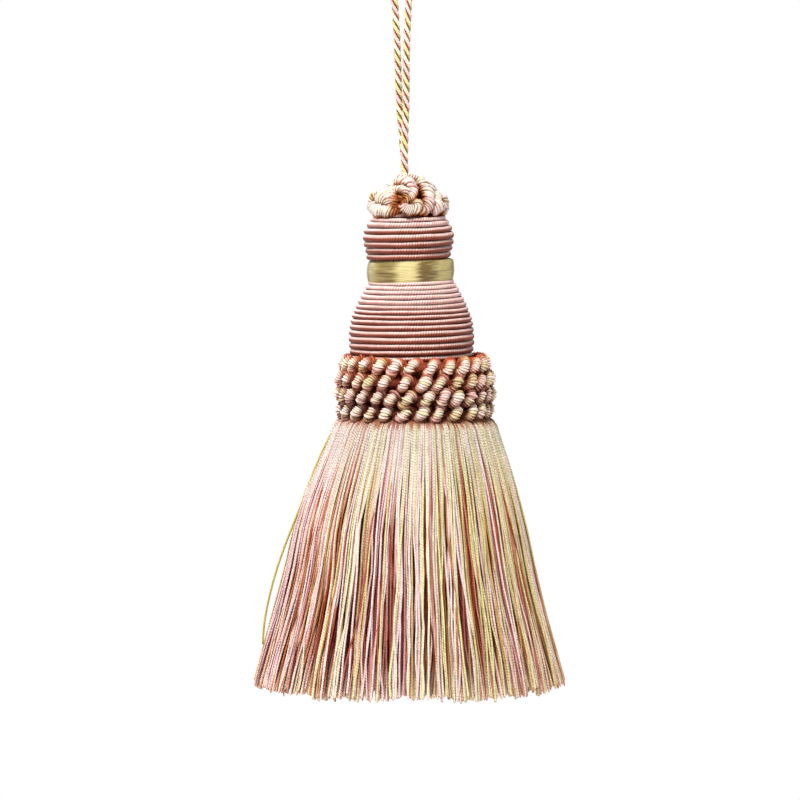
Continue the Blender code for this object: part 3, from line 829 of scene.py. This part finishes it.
def rosette_loops():
    rng = np.random.default_rng(12)
    tubes = Tubes()
    middle = np.array([ROSETTE_X, 0.0, -88.0])
    painted_light_and_shade = np.array([0.30, 0.065, 0.016])
    # One strand round the sides and the back, which crosses over itself at the top of every loop.
    psi = np.linspace(-math.pi, math.pi, 120)
    points = []
    number = np.arange(len(ROSETTE_PATH))
    for j, (degrees, wide, low, reach) in enumerate(LOOPS):
        before = LOOPS[j - 1][0] if j else degrees - 28
        after = LOOPS[j + 1][0] if j + 1 < len(LOOPS) else degrees + 28
        start, end = 0.5 * (degrees + before), 0.5 * (degrees + after)
        march = np.where(psi < 0, (degrees - start), (end - degrees)) * psi / math.pi
        angle = FRONT + np.radians(degrees + march + wide * np.sin(psi))
        share = low + (reach - low) * (0.5 + 0.5 * np.cos(psi))
        spot = share * (len(ROSETTE_PATH) - 1)
        lift = 0.55 * np.sin(0.5 * psi) * step(np.abs(psi), 0.8, 2.4) + 0.25 * np.cos(psi)
        r = np.interp(spot, number, [p[0] for p in ROSETTE_PATH]) + lift
        z = np.interp(spot, number, [p[1] for p in ROSETTE_PATH]) + 0.6 * lift + 0.12 * rng.normal()
        points.append(np.stack([ROSETTE_X + r * np.cos(angle), r * np.sin(angle), z], axis=1))
    line = np.concatenate(points)
    for _ in range(10):
        line[1:-1] = (line[:-2] + line[1:-1] * 2 + line[2:]) / 4.0
    wrapped_strand(tubes, line, middle, 1.34, False, painted_light_and_shade)
    # The knot of it at the front.
    for strand in KNOT:
        knots = np.array(strand)
        at = np.arange(len(knots))
        fine = np.linspace(0, len(knots) - 1, 30 * len(knots))
        line = on_dome(*(through(at, knots[:, k], fine) for k in range(3)))
        for _ in range(12):
            line[1:-1] = (line[:-2] + line[1:-1] * 2 + line[2:]) / 4.0
        line = np.concatenate([line, through(at, knots[:, 3], fine)[:, None]], axis=1)
        wrapped_strand(tubes, line, middle, None, False, painted_light_and_shade)
    # Small loops round the foot of the hanging cord.
    ring = np.linspace(0.0, TAU, 200, endpoint=False)
    r = 2.5 + 0.40 * np.cos(5 * ring + 0.6)
    z = -77.8 + 0.4 * np.sin(5 * ring) + 0.15 * np.cos(ring - 0.6)
    line = np.stack([0.15 + r * np.cos(ring), 0.3 + r * np.sin(ring), z], axis=1)
    wrapped_strand(tubes, line, middle, 1.15, True, painted_light_and_shade)
    # The bound foot beneath them, painted dark as shade.
    zs = np.linspace(-78.0, -85.8, 14)
    rr = through([-85.8, -84.0, -82.0, -80.0, -78.0], [6.6, 6.6, 5.8, 4.0, 1.6], zs)
    tubes.add(np.stack([np.full(14, ROSETTE_X), np.zeros(14), zs], axis=1)[None], np.array([0.0, 1.0, 0.0]),
              rr[None, :, None], 48, painted_light_and_shade * np.array([0.30, 0.22, 0.25]))
    return tubes.make("rosette_loops", rosette_look)


# --- skirt ---------------------------------------------------------------------------------
STRIPES = [                    # bands of colour round the skirt: degrees from the front, kind
    (-88, "yellow"), (-76, "tan"), (-64, "tan"), (-53, "tan"), (-44, "cream"), (-37, "tan"),
    (-30, "cream"), (-23, "yellow"), (-17, "pink"), (-10, "pale"), (-4, "pink"), (1, "rose"),
    (5, "yellow"), (10, "rose"), (15, "rose"), (19, "yellow"), (22, "pale"), (26, "yellow"),
    (30, "yellow"), (36, "pink"), (42, "yellow"), (48, "tan"), (54, "yellow"), (61, "pale"),
    (69, "yellow"), (78, "pale"), (88, "yellow"),
    (100, "pink"), (114, "cream"), (127, "rose"), (140, "yellow"),
    (152, "pink"), (166, "tan"), (180, "cream"), (194, "pink"), (206, "rose"), (218, "yellow"),
    (230, "pink"), (242, "cream"), (256, "tan"), (266, "pink"),
]
MIXES = {                      # the pale yarns of a band, its strong ones, and their share
    "pink": ([PINK, PINK, PALE_PINK, PALE_PINK, CREAM], [ROSE, RUST, DUSTY], 0.25),
    "pale": ([CREAM, PALE_PINK, PALE_PINK, PALE_YELLOW], [TAN, ROSE, RUST], 0.20),
    "cream": ([CREAM, CREAM, PALE_YELLOW, PALE_PINK], [TAN, ROSE, RUST], 0.26),
    "yellow": ([PALE_YELLOW, PALE_YELLOW, PALE_YELLOW, PALE_PINK], [TAN, GOLD, ROSE, RUST], 0.32),
    "tan": ([PALE_PINK, CREAM, PALE_PINK, PINK], [TAN, RUST, ROSE, TAN, UMBER], 0.46),
    "rose": ([PINK, PALE_PINK, CREAM, PALE_YELLOW], [ROSE, DUSTY, TAN, UMBER], 0.40),
}


def yarn_colours(rng, degrees, group):
    """A yarn for each strand, from the mix of the band that it hangs in; small locks share a pale one."""
    edges = np.array([s[0] for s in STRIPES], float)
    out = np.empty((len(degrees), 3))
    strong = np.zeros(len(degrees), bool)
    last = {}
    for k, d in enumerate(degrees + rng.normal(0.0, 2.5, len(degrees))):
        d = (d + 90.0) % 360.0 - 90.0
        kind = STRIPES[int(np.argmin(np.abs((edges - d + 180.0) % 360.0 - 180.0)))][1]
        pale, deep, share = MIXES[kind]
        if rng.random() < share:
            strong[k] = True
            out[k] = deep[rng.integers(len(deep))]
            continue
        if group[k] not in last or rng.random() < 0.62:
            last[group[k]] = pale[rng.integers(len(pale))]
        out[k] = last[group[k]]
    return out * (0.93 + rng.normal(0.0, 0.06, (len(degrees), 1))), strong


def locks(rng, count):
    """Edges of the locks that strands hang together in, of uneven widths."""
    width = rng.uniform(0.55, 1.6, count)
    edges = np.concatenate([[0.0], np.cumsum(width)])
    return edges / edges[-1] * TAU


SKIRT_LOCKS = locks(np.random.default_rng(21), 44)
SMALL_LOCKS = locks(np.random.default_rng(22), 150)
HOLD = np.random.default_rng(23).uniform(0.02, 0.16, 44)
SMALL_HOLD = np.random.default_rng(24).uniform(0.0, 0.34, 150)
TIP = np.random.default_rng(25).uniform(-0.7, 0.7, 44)


def in_lock(edges, angle):
    """Which lock an angle falls in, and where in it, from -1 to 1."""
    angle = angle % TAU
    i = np.clip(np.searchsorted(edges, angle, side="right") - 1, 0, len(edges) - 2)
    middle = 0.5 * (edges[i] + edges[i + 1])
    half = 0.5 * (edges[i + 1] - edges[i])
    return i, (angle - middle) / half, half


EDGE = np.array([0.56, 0.29, 0.25])     # a yarn's own edges, in the shade of its neighbours
DEEP_SHADE = np.array([0.24, 0.050, 0.040])   # painted shade for a yarn far in


def strands(tubes, rng, count, top_depth, end_depth, thick, heights, sides, shade, cross, lift=0.0):
    """A layer of the skirt's yarns, from under the collar to the cut edge."""
    begin = (np.arange(count) + rng.uniform(-0.3, 0.3, count)) / count * TAU
    end = begin + rng.normal(0.0, math.radians(0.9), count)
    astray = rng.random(count) < cross
    end = end + astray * rng.normal(0.0, math.radians(3.2), count)
    big, at_big, half_big = in_lock(SKIRT_LOCKS, end)
    small, at_small, half_small = in_lock(SMALL_LOCKS, end)
    tip = -203.1 + TIP[big] + rng.normal(0.0, 0.36, count) + 0.5 * np.abs(at_big) ** 3 + lift
    z = np.array(heights, float)[None, :] * np.ones((count, 1))
    tail = len(TAIL)
    z[:, -tail:] = tip[:, None] + np.array(TAIL)[None]
    z[:, -tail - 1] = np.maximum(z[:, -tail - 1], z[:, -tail] + 0.5)
    t = np.clip((z + 136.0) / (-203.0 + 136.0), 0.0, 1.0)
    envelope = radius_at([(r[0], r[1]) for r in SKIRT_ROWS], z)
    swing = radius_at([(r[0], r[2]) for r in SKIRT_ROWS], z)
    held = HOLD[big][:, None] * step(t, 0.15, 0.75)
    held_small = SMALL_HOLD[small][:, None] * step(t, 0.08, 0.55) * (1.0 - 0.55 * step(t, 0.8, 1.0))
    angle = (begin[:, None] + (end - begin)[:, None] * step(t, 0.0, 0.9)
             - at_big[:, None] * half_big[:, None] * held
             - at_small[:, None] * half_small[:, None] * held_small)
    # Some swing over their neighbours in the lower half.
    swings = (rng.random(count) < 0.32) * rng.normal(0.0, 0.036, count)
    angle += swings[:, None] * step(t, 0.45, 1.0)
    for waves, size in ((0.9, 0.50), (2.1, 0.30), (4.6, 0.10)):
        phase = rng.uniform(0, TAU, (count, 1))
        angle += size * rng.normal(0.0, 1.0, (count, 1)) * t ** 0.8 * np.sin(TAU * waves * t + phase) / envelope
    settle = step(t, 0.0, 0.55)
    degrees = np.degrees(end - FRONT)
    colour, strong = yarn_colours(rng, (degrees + 90.0) % 360.0 - 90.0, small)
    thick = thick * (1.0 - 0.24 * strong)
    depth = top_depth[:, None] * (1.0 - settle) + end_depth[:, None] * settle
    depth = depth + 0.9 * np.abs(at_big[:, None]) ** 3 * t + 0.5 * np.abs(at_small[:, None]) ** 2 * t
    depth = depth + 0.25 * t * np.sin(TAU * 1.7 * t + rng.uniform(0, TAU, (count, 1)))
    depth = depth + strong[:, None] * (0.16 + 0.10 * (1.0 - settle))
    r = envelope - thick[:, None] - depth
    ca, sa = np.cos(angle), np.sin(angle)
    line = np.stack([swing + r * ca, r * sa, z], axis=-1)
    out = np.stack([ca, sa, np.full_like(ca, 0.25)], axis=-1)
    bloom = np.ones(len(heights))
    bloom[-tail:] = BLOOM
    fat = thick[:, None] * bloom[None] * (1.0 + 0.05 * rng.normal(0, 1, (count, len(heights))))
    # Painted shade, darker and redder, on yarns that lie further in.
    sunk_shade = step(depth, 0.05, 1.8) ** 1.2 * shade * (0.60 + 0.34 * step(t, 0.02, 0.40) - 0.14 * step(t, 0.60, 0.85))
    # The cut ends are lit from below, and the filling's for longer.
    sunk_shade = sunk_shade * (1.0 - (0.80 * step(t, 0.78, 0.96) if lift else 0.45 * step(t, 0.90, 1.0)))
    tint = colour[:, None, :] * DEEP_SHADE ** sunk_shade[..., None]
    high = 1.0 - step(t, 0.03, 0.30)[..., None]
    tint = (tint * (1.0 - 0.36 * high) + 0.36 * high * WHITE) * (1.0 - 0.19 * high)
    paler = (0.42 * step(t, 0.84, 1.0) + 0.32 * step(t, 0.97, 1.0))[..., None]
    own = 0.60 * colour[:, None, :] + 0.40 * CREAM
    tint = tint * (1.0 - paler) + own * paler
    # Painted shade, darker and redder, on each yarn just under the collar.
    under_collar_shade = 0.020 + 0.030 * ((np.arange(count) * 0.618) % 1.0)[:, None] ** 2
    tint = tint * np.array([0.52, 0.22, 0.14]) ** (1.0 - step(t, 0.4 * under_collar_shade, under_collar_shade))[..., None]
    a = TAU * np.arange(sides) / sides + math.pi
    face = step(np.cos(a), -0.40, 0.96)[None, None, :, None]
    tint = tint[:, :, None, :] * EDGE ** ((0.45 + 0.55 * step(t, 0.03, 0.35))[..., None, None] * (1.0 - face))
    gaps = np.linalg.norm(np.diff(line, axis=1), axis=2)
    along = np.concatenate([np.zeros((count, 1)), np.cumsum(gaps, axis=1)], axis=1) + rng.uniform(0, 40, (count, 1))
    twist = (0.86 - 0.26 * step(t, 0.08, 0.40))[..., None, None]
    tubes.add(line, out, fat[..., None], sides, tint, along=along, twist=twist)


TAIL = (3.4, 2.0, 1.0, 0.3, 0.0)
BLOOM = (1.0, 1.06, 1.14, 1.06, 0.60)
FINE = [-134.9, -135.7, -136.5, -137.4, -138.6, -140.4, -142.8, -146.0, -150.0, -154.5, -159.0,
        -163.5, -168.0, -172.5, -177.0, -181.5, -186.0, -190.0, -194.0, -197.0]
MEDIUM = [-134.9, -136.0, -137.4, -139.5, -143.0, -148.0, -154.0, -160.0, -166.0, -172.0, -178.0,
          -184.0, -190.0, -195.5]
COARSE = [-134.9, -137.0, -141.0, -149.0, -159.0, -169.0, -179.0, -189.0, -196.0]


def skirt():
    rng = np.random.default_rng(8)
    made = []
    # The outer yarns, as they show.
    count = 556
    tubes = Tubes()
    thick = rng.normal(0.272, 0.025, count)
    rank = np.arange(count) % 2
    strands(tubes, rng, count, 0.05 + 0.22 * rank, rng.uniform(-0.35, 0.80, count), thick,
            FINE + [0.0] * len(TAIL), 6, 1.0, 0.14)
    # A few that cross over the rest.
    count = 60
    thick = rng.normal(0.26, 0.02, count)
    strands(tubes, rng, count, np.full(count, 0.1), rng.uniform(-0.5, -0.1, count), thick,
            FINE + [0.0] * len(TAIL), 6, 0.6, 0.95)
    made.append(tubes.make("skirt_outer", fringe_look))
    # The yarns just under them.
    count = 520
    tubes = Tubes()
    thick = rng.normal(0.31, 0.02, count)
    strands(tubes, rng, count, rng.uniform(0.9, 2.2, count), rng.uniform(0.6, 2.4, count), thick,
            MEDIUM + [0.0] * len(TAIL), 6, 1.0, 0.18)
    made.append(tubes.make("skirt_middle", fringe_look))
    # The filling, which shows at the cut edge and from below.
    tubes = Tubes()
    count = 440
    thick = rng.normal(0.34, 0.02, count)
    strands(tubes, rng, count, rng.uniform(2.0, 4.0, count), rng.uniform(2.4, 7.0, count), thick,
            COARSE + [0.0] * len(TAIL), 5, 0.9, 0.1, lift=0.2)
    count = 560
    thick = rng.normal(0.36, 0.02, count)
    inner = 39.0 - 32.0 * np.sqrt(rng.uniform(0.0, 1.0, count))
    top = 2.0 + 13.5 * (inner - 7.0) / 32.0
    strands(tubes, rng, count, top, inner, thick, COARSE + [0.0] * len(TAIL), 4, 0.9, 0.1, lift=0.6)
    made.append(tubes.make("skirt_inner", fringe_look))
    # The heading that the yarns hang from, inside the collar.
    tubes = Tubes()
    zs = np.linspace(-121.6, -137.0, 12)
    ribs = 180
    rib = 0.14 * np.cos(np.arange(ribs) * math.pi)[None, None, :]
    r = through([-137.0, -135.0, -121.6], [16.4, 15.5, 14.9], zs)
    tubes.add(np.stack([np.full(12, COLLAR_X), np.zeros(12), zs], axis=1)[None], np.array([0.0, 1.0, 0.0]),
              r[None, :, None] + rib, ribs, paint(120, 56, 36))
    made.append(tubes.make("skirt_heading", fringe_look))
    # One yarn that has strayed from the left side.
    tubes = Tubes()
    stray = np.array([
        (-15.6, -3.2, -137.6), (-18.2, -3.6, -141.4), (-21.2, -3.2, -148.0), (-24.0, -2.2, -155.5),
        (-26.9, -1.6, -162.5), (-29.6, -1.5, -169.5), (-31.6, -1.5, -175.5), (-33.3, -1.4, -182.0),
        (-34.4, -1.3, -188.0), (-34.8, -1.2, -193.2),
    ]) - np.array([HEAD_X, 0.0, 0.0])
    at = np.arange(len(stray))
    fine = np.linspace(0, len(stray) - 1, 60)
    line = np.stack([through(at, stray[:, k], fine) for k in range(3)], axis=1)
    tubes.add(line, np.array([-1.0, -0.3, 0.0]), 0.27, 8, paint(176, 156, 62))
    made.append(tubes.make("stray_yarn", cord_look))
    return made


# --- assembly ------------------------------------------------------------------------------
def assemble():
    root = "root"

    def on_head(obj):
        """Pieces are made on the head's axis, and moved to it in their meshes."""
        obj.data.transform(Matrix.Translation((HEAD_X * MM, 0.0, 0.0)))
        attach(obj, root)
        return obj

    cord, route, length = hanging_cord()
    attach(cord, root)
    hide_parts("hanging_cord")

    rosette = on_head(rosette_loops())
    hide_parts("rosette")

    upper = on_head(winding("gimp_upper", UPPER_ROWS, UPPER_TURNS, UPPER_X, 0.0, 0.5,
                            np.array([0.35, 0.2, 0.2]), (0.80, -88.9, -86.9), 1))
    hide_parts("upper_winding")
    lower = on_head(winding("gimp_lower", LOWER_ROWS, LOWER_TURNS, LOWER_X, 0.5, 0.5,
                            np.array([0.35, 0.2, 0.2]), (0.78, -110.5, -103.0), 2))
    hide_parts("lower_winding")

    neck = on_head(neck_floss())
    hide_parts("neck_band")

    for i, (height, ring_r) in enumerate(COLLAR_COURSES):
        course = on_head(rope_course(i, height, ring_r))
        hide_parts("collar")

    for piece in skirt():
        on_head(piece)
        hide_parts("skirt")


# --- studio --------------------------------------------------------------------------------
def area_light(name, spot, aim, size, power, colour=(1.0, 1.0, 1.0)):
    data = bpy.data.lights.new(name, "AREA")
    data.shape = "RECTANGLE"
    data.size, data.size_y = size
    data.energy = power
    data.color = colour
    obj = bpy.data.objects.new(name, data)
    bpy.context.scene.collection.objects.link(obj)
    obj.location = spot
    obj.rotation_mode = "QUATERNION"
    obj.rotation_quaternion = (Vector(aim) - Vector(spot)).to_track_quat("-Z", "Y")
    return obj


def studio():
    scene = bpy.context.scene
    aim = Vector((-0.000425, 0.0, -0.132))
    tilt = math.radians(4.0)
    data = bpy.data.cameras.new("camera")
    data.sensor_width = 36.0
    data.lens = 324.0
    camera = bpy.data.objects.new("camera", data)
    scene.collection.objects.link(camera)
    camera.location = aim + 1.8 * Vector((0.0, -math.cos(tilt), math.sin(tilt)))
    camera.rotation_mode = "QUATERNION"
    camera.rotation_quaternion = (aim - camera.location).to_track_quat("-Z", "Y")
    data.clip_start, data.clip_end = 0.05, 20.0
    scene.camera = camera

    centre = (0.0, 0.0, -0.13)
    area_light("key", (-0.24, -0.80, 1.02), centre, (0.46, 0.46), 35.0, (1.0, 0.99, 0.97))
    area_light("front", (0.10, -1.6, -0.05), centre, (0.35, 0.35), 2.5)
    area_light("side", (1.1, -0.5, 0.2), centre, (0.4, 0.9), 1.8)
    area_light("left", (-1.1, -0.4, 0.2), centre, (0.4, 0.9), 1.8)
    area_light("back", (-0.4, 0.9, 0.6), centre, (0.8, 0.8), 18.0)
    for name, x in (("back right", 0.85), ("back left", -0.85)):
        # They light the sides and the back, and leave no shine on the edges of the front.
        area_light(name, (x, 0.76, 0.1), centre, (0.5, 0.8), 5.0).visible_glossy = False

    floor = Look("floor", 0.9)
    floor.colour((0.93, 0.93, 0.93, 1.0))
    tree = floor.tree
    clear = tree.nodes.new("ShaderNodeBsdfTransparent")
    facing = tree.nodes.new("ShaderNodeNewGeometry")
    # The floor fades into the white round it.
    flat = tree.nodes.new("ShaderNodeVectorMath")
    flat.operation = "MULTIPLY"
    flat.inputs[1].default_value = (1.0, 1.0, 0.0)
    tree.links.new(facing.outputs["Position"], flat.inputs[0])
    away = tree.nodes.new("ShaderNodeVectorMath")
    away.operation = "LENGTH"
    tree.links.new(flat.outputs[0], away.inputs[0])
    fade = tree.nodes.new("ShaderNodeMapRange")
    fade.interpolation_type = "SMOOTHSTEP"
    fade.inputs["From Min"].default_value = 0.12
    fade.inputs["From Max"].default_value = 0.60
    tree.links.new(away.outputs["Value"], fade.inputs["Value"])
    path = tree.nodes.new("ShaderNodeLightPath")
    white = tree.nodes.new("ShaderNodeEmission")
    white.inputs["Color"].default_value = (1.0, 1.0, 1.0, 1.0)
    pale = tree.nodes.new("ShaderNodeMixShader")
    tree.links.new(floor.math("MULTIPLY", fade.outputs["Result"], path.outputs["Is Camera Ray"]), pale.inputs[0])
    tree.links.new(floor.shader.outputs[0], pale.inputs[1])
    tree.links.new(white.outputs[0], pale.inputs[2])
    blend = tree.nodes.new("ShaderNodeMixShader")
    tree.links.new(facing.outputs["Backfacing"], blend.inputs[0])
    tree.links.new(pale.outputs[0], blend.inputs[1])
    tree.links.new(clear.outputs[0], blend.inputs[2])
    tree.links.new(blend.outputs[0], tree.nodes["Material Output"].inputs["Surface"])
    mesh = bpy.data.meshes.new("floor")
    mesh.from_pydata([(-1.5, -1.5, -0.45), (1.5, -1.5, -0.45), (1.5, 1.5, -0.45), (-1.5, 1.5, -0.45)], [], [(0, 1, 2, 3)])
    mesh.materials.append(floor.mat)
    ground = bpy.data.objects.new("floor", mesh)
    scene.collection.objects.link(ground)

    world = bpy.data.worlds.new("studio")
    scene.world = world
    world.use_nodes = True
    tree = world.node_tree
    tree.nodes.clear()
    out = tree.nodes.new("ShaderNodeOutputWorld")
    mix = tree.nodes.new("ShaderNodeMixShader")
    seen = tree.nodes.new("ShaderNodeBackground")
    lit = tree.nodes.new("ShaderNodeBackground")
    path = tree.nodes.new("ShaderNodeLightPath")
    seen.inputs["Color"].default_value = (1.0, 1.0, 1.0, 1.0)
    lit.inputs["Color"].default_value = (1.0, 1.0, 1.0, 1.0)
    lit.inputs["Strength"].default_value = 0.17
    tree.links.new(path.outputs["Is Camera Ray"], mix.inputs[0])
    tree.links.new(lit.outputs[0], mix.inputs[1])
    tree.links.new(seen.outputs[0], mix.inputs[2])
    tree.links.new(mix.outputs[0], out.inputs["Surface"])

    scene.view_settings.view_transform = "Standard"
    scene.view_settings.look = "None"
    scene.view_settings.exposure = 0.0
    scene.view_settings.gamma = 1.0


assemble()
studio()
